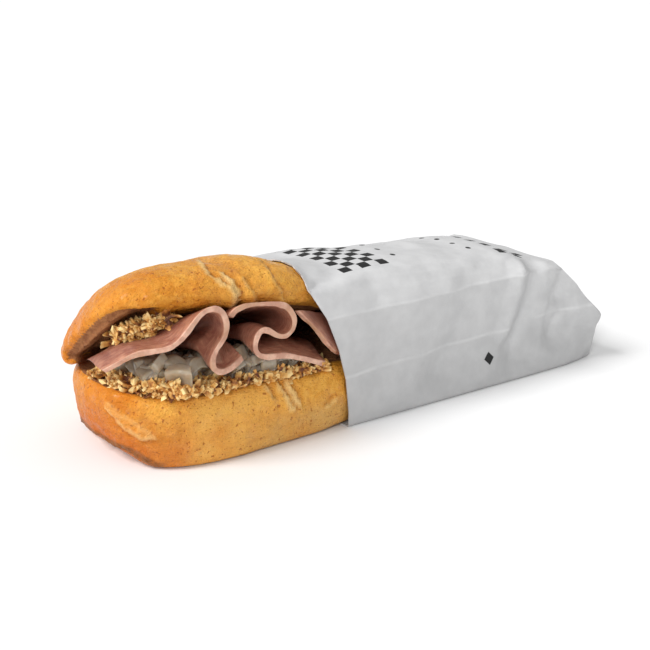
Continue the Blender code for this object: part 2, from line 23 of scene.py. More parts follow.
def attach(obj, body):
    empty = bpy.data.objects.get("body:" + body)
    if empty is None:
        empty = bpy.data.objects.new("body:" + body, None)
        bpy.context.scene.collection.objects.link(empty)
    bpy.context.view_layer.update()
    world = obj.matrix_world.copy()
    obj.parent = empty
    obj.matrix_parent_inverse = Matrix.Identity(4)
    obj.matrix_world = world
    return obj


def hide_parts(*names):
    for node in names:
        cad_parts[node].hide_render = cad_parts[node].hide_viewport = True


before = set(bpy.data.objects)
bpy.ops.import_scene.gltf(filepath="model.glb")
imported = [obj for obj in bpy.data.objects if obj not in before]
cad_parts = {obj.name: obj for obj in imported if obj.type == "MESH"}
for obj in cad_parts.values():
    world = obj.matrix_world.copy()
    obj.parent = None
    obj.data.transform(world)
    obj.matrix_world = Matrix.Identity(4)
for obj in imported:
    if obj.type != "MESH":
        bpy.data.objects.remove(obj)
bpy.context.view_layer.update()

# %% [markdown]
# ## The camera
#
# The sandwich is seen from its bare end, half from the side and a little from above. A long
# lens from two thirds of a metre keeps the far end nearly as large as the near one.

# %% Camera
CAMERA_AZIMUTH = math.radians(-37.0)
CAMERA_ELEVATION = math.radians(18.13)
CAMERA_DISTANCE = 0.66255
CAMERA_TARGET = Vector((-0.00216, 0.0, 0.0284))
LENS_MM = 88.76
SENSOR_MM = 36.0

toward_camera = Vector((
    math.sin(CAMERA_AZIMUTH) * math.cos(CAMERA_ELEVATION),
    -math.cos(CAMERA_AZIMUTH) * math.cos(CAMERA_ELEVATION),
    math.sin(CAMERA_ELEVATION),
))
bpy.ops.object.camera_add(location=CAMERA_TARGET + CAMERA_DISTANCE * toward_camera)
camera = bpy.context.object
camera.rotation_euler = (-toward_camera).to_track_quat("-Z", "Y").to_euler()
camera.data.lens = LENS_MM
camera.data.sensor_width = SENSOR_MM
bpy.context.scene.camera = camera
print("Camera at", tuple(round(v, 3) for v in camera.location))

# %% [markdown]
# ## Helpers for shapes
#
# Most pieces start as a merged copy of a CAD solid, because the solid already has the right
# form. The copy is welded, so that its loose triangles become one skin, and modifiers then
# give it a fine even mesh, whose points can be moved to make crust, creases and wrinkles.

# %% Helpers for shapes


def select_only(obj):
    """Makes obj the one selected and active object."""
    bpy.ops.object.select_all(action="DESELECT")
    obj.select_set(True)
    bpy.context.view_layer.objects.active = obj


def welded_copy(node, name):
    """A new object with the shape of a CAD solid, its triangles joined into one skin."""
    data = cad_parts[node].data.copy()
    data.materials.clear()
    obj = bpy.data.objects.new(name, data)
    bpy.context.scene.collection.objects.link(obj)
    select_only(obj)
    bpy.ops.object.mode_set(mode="EDIT")
    bpy.ops.mesh.select_all(action="SELECT")
    bpy.ops.mesh.remove_doubles(threshold=0.000002)
    bpy.ops.object.mode_set(mode="OBJECT")
    return obj


def apply_modifier(obj, kind, **settings):
    """Adds one modifier with its settings and applies it."""
    select_only(obj)
    modifier = obj.modifiers.new(kind.title(), kind)
    for key, value in settings.items():
        setattr(modifier, key, value)
    bpy.ops.object.modifier_apply(modifier=modifier.name)


def read_points(obj):
    """The points of a mesh as an array, one row each."""
    points = np.empty(len(obj.data.vertices) * 3)
    obj.data.vertices.foreach_get("co", points)
    return points.reshape(-1, 3)


def read_normals(obj):
    """The normals at the points of a mesh as an array, one row each."""
    normals = np.empty(len(obj.data.vertices) * 3)
    obj.data.vertices.foreach_get("normal", normals)
    return normals.reshape(-1, 3)


def write_points(obj, points):
    """Moves the points of a mesh."""
    obj.data.vertices.foreach_set("co", points.reshape(-1))
    obj.data.update()


def write_mask(obj, name, values):
    """Stores one number for each point, which a material can read."""
    layer = obj.data.attributes.new(name, "FLOAT", "POINT")
    layer.data.foreach_set("value", np.asarray(values, np.float32))


def blur(obj, values, times):
    """Spreads a mask over neighbouring points."""
    ends = np.empty(len(obj.data.edges) * 2, np.int64)
    obj.data.edges.foreach_get("vertices", ends)
    first, second = ends.reshape(-1, 2).T
    count = np.bincount(ends, minlength=len(values))
    for _ in range(times):
        total = np.bincount(first, values[second], len(values))
        total += np.bincount(second, values[first], len(values))
        values = 0.5 * values + 0.5 * total / np.maximum(count, 1)
    return values


def noise_at(points, size, seed=0.0):
    """Smooth noise between about -1 and 1 at each point, with lumps of the given size."""
    shift = Vector((seed, 1.7 * seed, -seed))
    return np.array([noise.noise(Vector(point) / size + shift) for point in points])


def ease(values):
    """Runs smoothly from 0 to 1."""
    values = np.clip(values, 0.0, 1.0)
    return values * values * (3.0 - 2.0 * values)


def line_distance(points, line, normals=None):
    """The distance from each point to a line through the given places.

    With normals, points to the right of the line, seen from outside, get a minus.
    """
    nearest = np.full(len(points), 1.0)
    side = np.ones(len(points))
    for start, end in zip(line, line[1:]):
        start, run = np.array(start), np.array(end) - np.array(start)
        share = np.clip((points - start) @ run / (run @ run), 0.0, 1.0)
        away = points - start - share[:, None] * run
        length = np.linalg.norm(away, axis=1)
        closer = length < nearest
        nearest[closer] = length[closer]
        if normals is not None:
            turned = np.cross(normals[closer], run)
            side[closer] = np.where((away[closer] * turned).sum(axis=1) < 0.0, -1.0, 1.0)
    return nearest * side


def dress(obj, node, material):
    """Lets a finished piece stand for a CAD solid, on the one body, in its material."""
    obj.data.materials.clear()
    obj.data.materials.append(material)
    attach(obj, "root")
    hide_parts(node)
    print(f"{obj.name}: {sum(len(p.vertices) - 2 for p in obj.data.polygons)} triangles")


# %% [markdown]
# ## Helpers for materials
#
# Each material is a Principled shader fed by a few textures in Object coordinates, which
# are metres here, so a noise scale of 500 has lumps of about two millimetres. Two effects
# come back in several materials, and each is a node group: mottling, which mixes two colours
# in patches, and a fine grain, which is a height for bump.

# %% Helpers for materials


def feed(tree, place, value):
    """Links a socket to an input, or sets the input to a value."""
    if isinstance(value, bpy.types.NodeSocket):
        tree.links.new(value, place)
    else:
        place.default_value = value


def add_node(tree, kind, **inputs):
    """Adds a node. An input is given by its name, with _ for a blank, or as _ and its number."""
    made = tree.nodes.new(kind)
    for key, value in inputs.items():
        place = made.inputs[int(key[1:])] if key[1:].isdigit() else made.inputs[key.replace("_", " ")]
        feed(tree, place, value)
    return made


def place_in(tree, scale=(1.0, 1.0, 1.0), turn=(0.0, 0.0, 0.0)):
    """Object coordinates, stretched and turned."""
    source = add_node(tree, "ShaderNodeTexCoord").outputs["Object"]
    mapping = add_node(tree, "ShaderNodeMapping", Vector=source)
    mapping.inputs["Scale"].default_value = scale
    mapping.inputs["Rotation"].default_value = turn
    return mapping.outputs["Vector"]


def noise_in(tree, vector, scale, detail=3.0, roughness=0.55):
    """Noise from 0 to 1."""
    return add_node(tree, "ShaderNodeTexNoise", Vector=vector, Scale=scale, Detail=detail,
                    Roughness=roughness).outputs["Fac"]


def spread(tree, value, low, high, to_low=0.0, to_high=1.0):
    """Stretches the values between low and high over another span, and clips the rest."""
    return add_node(tree, "ShaderNodeMapRange", Value=value, From_Min=low, From_Max=high,
                    To_Min=to_low, To_Max=to_high).outputs["Result"]


def calculate(tree, kind, first, second=0.0):
    """One sum on one or two values."""
    made = add_node(tree, "ShaderNodeMath", _0=first, _1=second)
    made.operation = kind
    return made.outputs[0]


def product(tree, first, second):
    """One value times another."""
    return calculate(tree, "MULTIPLY", first, second)


def blend(tree, share, first, second, kind="MIX"):
    """Blends two colours by a share from 0 to 1."""
    made = tree.nodes.new("ShaderNodeMix")
    made.data_type = "RGBA"
    made.blend_type = kind
    for number, value in ((0, share), (6, first), (7, second)):
        feed(tree, made.inputs[number], value)
    return made.outputs[2]


def mask_in(tree, name):
    """A mask stored on the points of the mesh."""
    made = tree.nodes.new("ShaderNodeAttribute")
    made.attribute_name = name
    return made.outputs["Fac"]


def tint(red, green, blue):
    """A colour with its alpha."""
    return (red, green, blue, 1.0)


def new_material(name, **sockets):
    """A material with its Principled shader. Values that are the same all over go on its sockets."""
    material = bpy.data.materials.new(name)
    material.use_nodes = True
    shader = material.node_tree.nodes["Principled BSDF"]
    for key, value in sockets.items():
        shader.inputs[key.replace("_", " ")].default_value = value
    return material, material.node_tree, shader


def new_group(name, inputs, outputs):
    """An empty shader node group with named inputs and outputs, each (name, kind, value)."""
    group = bpy.data.node_groups.new(name, "ShaderNodeTree")
    for way, sockets in (("INPUT", inputs), ("OUTPUT", outputs)):
        for label, kind, value in sockets:
            socket = group.interface.new_socket(label, in_out=way, socket_type=kind)
            if value is not None:
                socket.default_value = value
    return group, group.nodes.new("NodeGroupInput"), group.nodes.new("NodeGroupOutput")


def use_group(tree, group, **inputs):
    """Places a node group and sets its inputs."""
    made = tree.nodes.new("ShaderNodeGroup")
    made.node_tree = group
    for key, value in inputs.items():
        feed(tree, made.inputs[key], value)
    return made


# %% [markdown]
# Both groups hold only textures and sums. The material that uses one sets its colours and
# its scale. Two short helpers put them to use: one gives mottled colours, the other bumps.

# %% Mottling and grain
COLOUR, NUMBER = "NodeSocketColor", "NodeSocketFloat"
mottling, given, result = new_group(
    "mottling",
    [("Light", COLOUR, tint(1, 1, 1)), ("Dark", COLOUR, tint(0, 0, 0)), ("Scale", NUMBER, 60.0),
     ("Sharpness", NUMBER, 0.2)],
    [("Colour", COLOUR, None)],
)
patches = noise_in(mottling, place_in(mottling), 1.0, 4.0)
mottling.links.new(given.outputs["Scale"], patches.node.inputs["Scale"])
low = calculate(mottling, "ADD", 0.3, given.outputs["Sharpness"])
high = calculate(mottling, "SUBTRACT", 0.7, given.outputs["Sharpness"])
mottling.links.new(
    blend(mottling, spread(mottling, patches, low, high), given.outputs["Dark"], given.outputs["Light"]),
    result.inputs["Colour"])

grain, given, result = new_group(
    "grain",
    [("Scale", NUMBER, 900.0), ("Coarse", NUMBER, 0.6), ("Fine", NUMBER, 0.4)],
    [("Height", NUMBER, None)],
)
coarse = noise_in(grain, place_in(grain), 1.0, 2.0)
fine = noise_in(grain, place_in(grain, scale=(3.1, 3.1, 3.1)), 1.0, 3.0)
for texture in (coarse, fine):
    grain.links.new(given.outputs["Scale"], texture.node.inputs["Scale"])
grain.links.new(
    calculate(grain, "ADD", product(grain, coarse, given.outputs["Coarse"]),
              product(grain, fine, given.outputs["Fine"])),
    result.inputs["Height"])
print("Node groups:", [group.name for group in bpy.data.node_groups])


def mottled(tree, light, dark, scale, sharpness):
    """Patches of a light and a dark colour."""
    return use_group(tree, mottling, Light=tint(*light), Dark=tint(*dark), Scale=scale,
                     Sharpness=sharpness).outputs["Colour"]


def roughen(tree, shader, height, strength, distance):
    """Lets a height raise bumps on a material, over a distance in metres."""
    bump = add_node(tree, "ShaderNodeBump", Strength=strength, Distance=distance, Height=height)
    tree.links.new(bump.outputs["Normal"], shader.inputs["Normal"])

# %% [markdown]
# ## The roll
#
# A roll like this is baked in one piece, slashed on top, and cut open from the front, so the
# knife leaves a hinge at the back. The crust is thin and blistered, paler where the dough
# tore in the oven, and freckled with bran. The crumb shows only on the two cut faces. The
# CAD roll is remeshed into small even squares, which can carry the tears and the lumps as
# real relief. A point is crumb where it looks straight at the other half of the roll. Round
# the near corner of the lid the crust stops higher up: the crumb has shrunk back under its
# lip, so the points there below a slanting line are crumb too, and they are sunk in. The
# same corner also hangs a little lower than the CAD lid, and nearly meets the base. Under
# the near end the base is lifted off the floor, as the rounded end of such a roll is.

# %% Remesh the roll and find the crumb
VOXEL = 0.0011
roll = welded_copy("roll", "roll_crust_and_crumb")
apply_modifier(roll, "REMESH", mode="VOXEL", voxel_size=VOXEL)
apply_modifier(roll, "SMOOTH", factor=0.5, iterations=3)
points, normals = read_points(roll), read_normals(roll)
skin = BVHTree.FromObject(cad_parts["roll"], bpy.context.evaluated_depsgraph_get())
SLOT_REACH = 0.07
faces_other_half = [
    skin.ray_cast(Vector(point) + 0.001 * Vector(normal), Vector(normal), SLOT_REACH)[0] is not None
    for point, normal in zip(points, normals)
]
# The lip of the lid's crust round its near corner: places across the roll and heights there
LIP = ((-0.0300, 0.0608), (-0.0272, 0.0615), (-0.0228, 0.0622), (-0.0188, 0.0608), (-0.0135, 0.0575),
       (-0.0062, 0.0512), (0.0017, 0.0450), (0.0080, 0.0400), (0.0150, 0.0360))
LIP_END_X = (-0.094, -0.100)
LIP_DEPTH = 0.0030
LIP_EDGE = 0.0016
LID_DROP = 0.0065
NOSE_LIFT = 0.0052
NOSE_HEIGHT = 0.014
near_tip = ease((-0.096 - points[:, 0]) / 0.016)
lid_low = ease((points[:, 2] - 0.0335) / 0.004) * (1.0 - ease((points[:, 2] - 0.040) / 0.026))
nose = ease((-0.1025 - points[:, 0]) / 0.008)
under_nose = nose * np.clip(1.0 - points[:, 2] / NOSE_HEIGHT, 0.0, 1.0)
points[:, 2] += NOSE_LIFT * under_nose - LID_DROP * near_tip * lid_low
lip_height = np.interp(points[:, 1], [y for y, _ in LIP], [z for _, z in LIP])
lip_height += 0.0006 * noise_at(points, 0.006, seed=2.0)
near_corner = ease((LIP_END_X[0] - points[:, 0]) / (LIP_END_X[0] - LIP_END_X[1]))
on_lid = (points[:, 2] > 0.032) & (points[:, 1] < 0.015)
below_lip = ease((lip_height - points[:, 2]) / LIP_EDGE) * near_corner * on_lid
crumb = np.maximum(blur(roll, np.array(faces_other_half, float), 2), below_lip)
print(f"{len(points)} points, {crumb.mean():.0%} of them crumb")

# %% [markdown]
# The tears are lines over the crust. Along each line the crust has cracked: on one side a
# lip of paler dough stands up, and the crack beside it is painted brown, partly painted shade.
# A fold is wide and shallow.
# The lines were drawn from top to bottom, so the lip is on the right of each, seen from
# outside, unless its height is less than 0.

# %% Lines of the tears
TEARS = (
    # width of the crack, its depth, height of the lip, how pale it is, places along the line
    (0.0012, 0.0016, 0.0022, 0.9, (
        (-0.0725, -0.0170, 0.0708), (-0.0754, -0.0246, 0.0713), (-0.0763, -0.0292, 0.0698),
        (-0.0737, -0.0319, 0.0678), (-0.0709, -0.0334, 0.0657), (-0.0695, -0.0349, 0.0630),
        (-0.0690, -0.0338, 0.0590),
    )),
    (0.0013, 0.0013, 0.0018, 1.0, (
        (-0.0700, -0.0300, 0.0690), (-0.0688, -0.0318, 0.0676), (-0.0675, -0.0336, 0.0651),
        (-0.0679, -0.0354, 0.0622), (-0.0671, -0.0328, 0.0579),
    )),
    (0.0010, 0.0012, 0.0014, 0.45, (
        (-0.0631, -0.0324, 0.0664), (-0.0619, -0.0346, 0.0636), (-0.0609, -0.0355, 0.0601),
        (-0.0569, -0.0316, 0.0557),
    )),
    (0.0010, 0.0012, 0.0014, 0.4, (
        (-0.0498, -0.0238, 0.0690), (-0.0511, -0.0308, 0.0669), (-0.0510, -0.0338, 0.0641),
        (-0.0497, -0.0352, 0.0615), (-0.0479, -0.0352, 0.0577),
    )),
    (0.0011, 0.0009, -0.0012, 0.6, (
        (-0.1143, -0.0164, 0.0212), (-0.1128, -0.0208, 0.0175), (-0.1105, -0.0254, 0.0145),
        (-0.1076, -0.0296, 0.0128), (-0.1052, -0.0320, 0.0130),
    )),
    (0.0020, 0.0004, 0.0010, 0.4, (
        (-0.1135, -0.0183, 0.0247), (-0.1115, -0.0240, 0.0229), (-0.1082, -0.0291, 0.0206),
        (-0.1057, -0.0317, 0.0169),
    )),
    (0.0013, 0.0020, 0.0024, 0.9, (
        (-0.0519, -0.0383, 0.0239), (-0.0504, -0.0394, 0.0207), (-0.0482, -0.0403, 0.0160),
    )),
    (0.0013, 0.0020, 0.0024, 0.9, (
        (-0.0475, -0.0380, 0.0237), (-0.0461, -0.0394, 0.0201), (-0.0444, -0.0402, 0.0167),
    )),
    (0.0011, 0.0016, 0.0018, 0.7, (
        (-0.0579, -0.0384, 0.0245), (-0.0570, -0.0396, 0.0215),
    )),
    (0.0011, 0.0014, 0.0014, 0.6, (
        (-0.0319, -0.0402, 0.0126), (-0.0289, -0.0400, 0.0139),
    )),
    (0.0010, 0.0006, 0.0006, 0.2, (
        (-0.1132, -0.0037, 0.0089), (-0.1132, -0.0103, 0.0071), (-0.1123, -0.0168, 0.0057),
        (-0.1101, -0.0225, 0.0039), (-0.1071, -0.0258, 0.0019),
    )),
)
print(len(TEARS), "tears and folds")

# %% [markdown]
# All relief is summed first, and the points are then moved along their normals once. Smooth
# noise makes the lumps of the crust and the pores of the crumb. Inside the sleeve, out of
# sight, the roll is a little thinner, which leaves room for the dents of the paper. Round the
# near end, just over the base, the crust is flaky and brown where the dough sat on the tin.

# %% Relief of the crust
# Size and height of each kind of lump and pore
LUMPS = ((0.016, 0.00055), (0.007, 0.00040), (0.0030, 0.00030))
CRUMB_PORES = ((0.0045, 0.00040), (0.0020, 0.00035))
WRAPPED_SHRINK = 0.0030

torn = np.zeros(len(points))
crack_brown_and_shade = np.zeros(len(points))
relief = np.zeros(len(points))
for width, depth, rise, pale, line in TEARS:
    ragged = 0.0011 * noise_at(points, 0.0030, seed=width * 900)
    ragged += 0.0005 * noise_at(points, 0.0012, seed=3.0)
    away = line_distance(points, line, normals) + ragged
    crack = np.exp(-((away / width) ** 2))
    lip_side = -np.sign(rise) * away
    lip = np.where(lip_side > 0.0, np.exp(-lip_side / 0.0028), np.exp(lip_side / 0.0004))
    torn = np.maximum(torn, pale * np.exp(-(((lip_side - width) / (1.2 * width)) ** 2)))
    # The crack's mask: the material paints it dark brown, partly brown crust and partly painted shade.
    crack_brown_and_shade = np.maximum(crack_brown_and_shade, np.exp(-(((lip_side + 0.6 * width) / (0.9 * width)) ** 2)))
    relief += abs(rise) * lip - depth * crack
base_rim = 0.0022 + NOSE_LIFT * nose
seam = np.exp(-(((points[:, 2] - base_rim) / 0.0015) ** 2)) * ease((-0.098 - points[:, 0]) / 0.005)
flakes = noise_at(points, 0.0022, seed=8.0) + 0.5 * noise_at(points, 0.0011, seed=9.0)
relief += 0.0009 * seam * flakes
inside = ease((points[:, 0] + 0.030) / 0.012)
for size, height in LUMPS:
    relief += height * noise_at(points, size, seed=size * 500) * (1.0 - crumb)
for size, height in CRUMB_PORES:
    relief -= height * np.abs(noise_at(points, size, seed=size * 300)) * crumb
relief -= LIP_DEPTH * blur(roll, below_lip, 1)
off_floor = ease((points[:, 2] - 0.0005) / 0.003)
wrapped = ease((points[:, 0] + 0.026) / 0.02)
relief = (relief * (1.0 - inside) - WRAPPED_SHRINK * wrapped) * off_floor
write_points(roll, points + normals * relief[:, None])
write_mask(roll, "crumb", crumb)
write_mask(roll, "torn", torn * (1.0 - crumb))
write_mask(roll, "crack_brown_and_shade", crack_brown_and_shade * (1.0 - crumb))
write_mask(roll, "seam", seam * (0.7 + 0.6 * flakes))
roll.data.shade_smooth()
print(f"Relief from {relief.min() * 1000:.2f} to {relief.max() * 1000:.2f} mm")

# %% [markdown]
# The crust's colour runs from golden on the open faces to orange brown at the tip, low down
# and in patches. The long front near the sleeve is painted lighter and clearer, painted light
# for a face turned from the lamps, and the right part of the lid is lighter too.

# %% Crust colours
TIP_BROWN = tint(0.74, 0.20, 0.008)
LOW_BROWN = tint(0.55, 0.110, 0.002)
PALE_GOLD_AND_PAINTED_LIGHT = tint(0.96, 0.55, 0.125)
PALE_FOOT = tint(0.65, 0.41, 0.14)
crust, tree, shader = new_material("roll_bread", Coat_Roughness=0.22, Specular_IOR_Level=0.22)
object_space = place_in(tree)
place = add_node(tree, "ShaderNodeSeparateXYZ", Vector=object_space)
height = place.outputs["Z"]
wander = product(tree, noise_in(tree, object_space, 60.0), 0.02)
along_roll = calculate(tree, "ADD", place.outputs["X"], wander)
golden = mottled(tree, (0.82, 0.395, 0.056), (0.71, 0.262, 0.020), 38.0, 0.08)
patchy = mottled(tree, (1.0, 1.0, 1.0), (0.90, 0.80, 0.62), 380.0, 0.16)
golden = blend(tree, 1.0, golden, patchy, "MULTIPLY")

at_tip = spread(tree, along_roll, -0.088, -0.108, 0.0, 0.55)
golden = blend(tree, at_tip, golden, TIP_BROWN)
near_end = spread(tree, along_roll, -0.060, -0.085, 0.0, 0.85)
golden = blend(tree, product(tree, spread(tree, height, 0.024, 0.008), near_end), golden, LOW_BROWN)

# Painted light: the long front near the sleeve faces away from the lamps, so it is painted a lighter,
# clearer gold. The right part of the lid is lighter too.
painted_light_front = product(tree, spread(tree, along_roll, -0.100, -0.078), spread(tree, height, 0.036, 0.022))
painted_light_front = product(tree, painted_light_front, spread(tree, along_roll, -0.035, -0.060, 0.3, 1.0))
lid_right = product(tree, spread(tree, along_roll, -0.080, -0.060),
                    spread(tree, height, 0.045, 0.055, 0.0, 0.45))
painted_light_and_pale_lid = calculate(tree, "MAXIMUM", painted_light_front, lid_right)
golden = blend(tree, product(tree, painted_light_and_pale_lid, noise_in(tree, object_space, 70.0)), golden, PALE_GOLD_AND_PAINTED_LIGHT)
pale_foot = product(tree, spread(tree, along_roll, -0.070, -0.045), spread(tree, height, 0.017, 0.009))
golden = blend(tree, product(tree, pale_foot, noise_in(tree, object_space, 90.0)), golden, PALE_FOOT)
print("Crust colours:", len(tree.nodes), "nodes")

# %% [markdown]
# The cracks are painted dark brown, partly painted shade, and the torn dough is pale. Small
# freckles of bran and fine wrinkles lie over all of it, and the crust is glossy in patches.
# The crumb is brown and dull, with pores.

# %% Cracks, freckles, crumb and gloss
CRACK_BROWN_AND_SHADE = tint(0.50, 0.14, 0.012)
SEAM_BROWN = tint(0.28, 0.10, 0.025)
TORN_DOUGH = tint(0.97, 0.66, 0.27)
BRAN = tint(0.38, 0.095, 0.010)
FRECKLES = (
    # noise scale, how high the noise is where a freckle starts, how strong the freckles are
    (620.0, 0.665, 0.75),
    (1200.0, 0.67, 0.6),
)
# Painted shade in the cracks, over brown crust.
crack_shade_share = product(tree, product(tree, mask_in(tree, "crack_brown_and_shade"), noise_in(tree, object_space, 240.0)), 0.8)
golden = blend(tree, crack_shade_share, golden, CRACK_BROWN_AND_SHADE)
golden = blend(tree, spread(tree, mask_in(tree, "seam"), 0.1, 0.6), golden, SEAM_BROWN)
for scale, low, strength in FRECKLES:
    freckles = spread(tree, noise_in(tree, object_space, scale, 1.0), low, low + 0.05, 0.0, strength)
    golden = blend(tree, freckles, golden, BRAN)
rough_edge = product(tree, noise_in(tree, object_space, 420.0, 5.0), 0.5)
torn_share = spread(tree, calculate(tree, "ADD", mask_in(tree, "torn"), rough_edge), 0.45, 1.35)
golden = blend(tree, torn_share, golden, TORN_DOUGH)

soft_crumb = mottled(tree, (0.39, 0.165, 0.064), (0.25, 0.092, 0.036), 420.0, 0.05)
crumb_edge = calculate(tree, "ADD", mask_in(tree, "crumb"), product(tree, rough_edge, 0.6))
crumb_share = spread(tree, crumb_edge, 0.55, 0.8)
tree.links.new(blend(tree, crumb_share, golden, soft_crumb), shader.inputs["Base Color"])
sheen = spread(tree, noise_in(tree, object_space, 150.0, 4.0), 0.35, 0.65, 0.32, 0.54)
dull = calculate(tree, "MAXIMUM", sheen, spread(tree, crumb_share, 0.0, 1.0, 0.3, 0.9))
tree.links.new(dull, shader.inputs["Roughness"])
glossy = spread(tree, noise_in(tree, object_space, 260.0, 4.0), 0.50, 0.66, 0.03, 0.38)
glossy = product(tree, glossy, spread(tree, crumb_share, 0.0, 1.0, 1.0, 0.0))
tree.links.new(glossy, shader.inputs["Coat Weight"])
skin_grain = use_group(tree, grain, Scale=420.0, Coarse=0.6, Fine=0.35).outputs["Height"]
wrinkles = noise_in(tree, place_in(tree, scale=(0.3, 1.0, 1.0), turn=(0.0, 0.0, 0.5)), 330.0, 6.0, 0.65)
roughen(tree, shader, calculate(tree, "ADD", skin_grain, product(tree, wrinkles, 1.6)), 0.95, 0.0013)
dress(roll, "roll", crust)

# %% [markdown]
# ## The beef
#
# Thin slices of cold roast beef are folded back and forth, and only their cut edges face
# out. Each edge is a paler band, a little over two millimetres wide, and the faces behind it
# are moist and streaked along the fold, and painted darker the farther back they lie, as
# painted shade. The CAD slices have the folds already, so their corners are rounded with a
# bevel and two levels of subdivision. Each point keeps how far it lies behind the slice's
# front edge, because the streaks, the pale band and the painted shade follow that edge. The
# right slice turns in under the paper, and its painted shade deepens three times as fast.

# %% Round the slices
BACK_RUNS = {
    "beef_slice_left": Vector((0.0, 1.0, 0.0)),
    "beef_slice_middle": Vector((0.0, 1.0, 0.0)),
    "beef_slice_right": Vector((0.95, 0.31, 0.0)),
}
# The right slice's depth counts three times, so its painted shade deepens faster where it turns in under
# the paper.
UNDER_PAPER_SHADE = 3.0
beef_objects = []
for name, back_run in BACK_RUNS.items():
    beef = welded_copy(name, name.replace("beef_slice", "cold_beef"))
    front_faces = [tuple(face.vertices) for face in beef.data.polygons if face.normal @ back_run < -0.55]
    front = BVHTree.FromPolygons([vertex.co for vertex in beef.data.vertices], front_faces)
    select_only(beef)
    bpy.ops.object.mode_set(mode="EDIT")
    bpy.ops.mesh.select_all(action="SELECT")
    bpy.ops.mesh.tris_convert_to_quads(face_threshold=math.radians(40), shape_threshold=math.radians(60))
    bpy.ops.object.mode_set(mode="OBJECT")
    apply_modifier(beef, "BEVEL", width=0.00045, segments=2, limit_method="ANGLE",
                   angle_limit=math.radians(50), use_clamp_overlap=True)
    apply_modifier(beef, "SUBSURF", levels=2, render_levels=2)
    points, normals = read_points(beef), read_normals(beef)
    depth = np.array([front.find_nearest(Vector(point))[3] for point in points])
    if name == "beef_slice_right":
        depth *= UNDER_PAPER_SHADE
    wave = 0.00032 * noise_at(points, 0.007, seed=3.0) + 0.00014 * noise_at(points, 0.002, seed=5.0)
    write_points(beef, points + normals * wave[:, None])
    write_mask(beef, "depth", depth)
    beef.data.shade_smooth()
    beef_objects.append(beef)
print("Slices:", [beef.name for beef in beef_objects])

# %% [markdown]
# The meat's colours go by that depth: pale at the edge, roasted brown in places, then
# reddish brown with streaks, and painted shade that deepens to nearly black red far back.
# It is moist, so it has a low roughness, and a little light goes under its surface.

# %% Beef material
meat, tree, shader = new_material("cold_beef", Coat_Weight=0.2, Coat_Roughness=0.25, Subsurface_Weight=0.12,
                                  Subsurface_Scale=0.002)
shader.inputs["Subsurface Radius"].default_value = (1.0, 0.35, 0.25)
depth = mask_in(tree, "depth")
place = add_node(tree, "ShaderNodeSeparateXYZ", Vector=place_in(tree))
along_fold = add_node(tree, "ShaderNodeCombineXYZ", X=product(tree, depth, 5.0),
                      Y=place.outputs["X"], Z=place.outputs["Z"]).outputs["Vector"]
streaks = noise_in(tree, along_fold, 230.0, 5.0, 0.65)
streaked = blend(tree, spread(tree, streaks, 0.42, 0.62), tint(0.25, 0.080, 0.050),
                 tint(0.62, 0.30, 0.19))
face_colour = mottled(tree, (0.53, 0.235, 0.145), (0.31, 0.105, 0.065), 120.0, 0.1)
face_colour = blend(tree, 0.5, face_colour, streaked)
# Painted shade: the faces darken towards nearly black red the farther back they lie.
painted_shade_far_back = spread(tree, depth, 0.001, 0.009, 0.0, 0.65)
face_colour = blend(tree, painted_shade_far_back, face_colour, tint(0.16, 0.050, 0.034))
edge_colour = mottled(tree, (0.74, 0.45, 0.32), (0.54, 0.28, 0.19), 260.0, 0.1)
roasted = spread(tree, noise_in(tree, place_in(tree), 75.0, 2.0), 0.50, 0.66, 0.0, 0.6)
edge_colour = blend(tree, roasted, edge_colour, tint(0.46, 0.235, 0.115))
edge_share = spread(tree, depth, 0.0007, 0.0002)
tree.links.new(blend(tree, edge_share, face_colour, edge_colour), shader.inputs["Base Color"])
tree.links.new(spread(tree, edge_share, 0.0, 1.0, 0.34, 0.5), shader.inputs["Roughness"])
roughen(tree, shader, streaks, 0.7, 0.0005)
for beef, name in zip(beef_objects, BACK_RUNS):
    dress(beef, name, meat)

# %% [markdown]
# ## Pieces for the heaps
#
# Both kinds of onion are heaps of many small things. A few kinds of piece are modelled from
# primitives, and each heap is then many copies of them, turned and sized at random from a
# fixed seed and joined into one mesh over the heap's own core. Crisp fried onion is small
# craggy crumbs and short bent strips, with few faces each. Raw onion is cut across its
# layers, so its chunks are thick curved tiles with soft corners.

# %% Kinds of piece
draws = random.Random(7)


def take_mesh(obj):
    """The points and triangles of an object and how far out each point is. The object is removed."""
    apply_modifier(obj, "TRIANGULATE")
    points = read_points(obj)
    faces = np.empty(len(obj.data.polygons) * 3, np.int64)
    obj.data.polygons.foreach_get("vertices", faces)
    bpy.data.objects.remove(obj, do_unlink=True)
    reach = np.linalg.norm(points - points.mean(axis=0), axis=1)
    return points, faces.reshape(-1, 3), (reach - reach.mean()) / reach.mean()


def craggy_crumb():
    """A fried crumb: a ball pushed into crags."""
    bpy.ops.mesh.primitive_ico_sphere_add(subdivisions=3, radius=1.0)
    crumb_obj = bpy.context.object
    points = read_points(crumb_obj)
    seed = draws.uniform(0.0, 50.0)
    crags = 0.55 * noise_at(points, 0.8, seed) + 0.45 * noise_at(points, 0.42, seed)
    points *= (1.0 + crags)[:, None]
    points *= (1.0, draws.uniform(0.7, 0.95), draws.uniform(0.5, 0.85))
    write_points(crumb_obj, points)
    apply_modifier(crumb_obj, "DECIMATE", ratio=0.17)
    return take_mesh(crumb_obj)


STRIP_LENGTH = 1.9


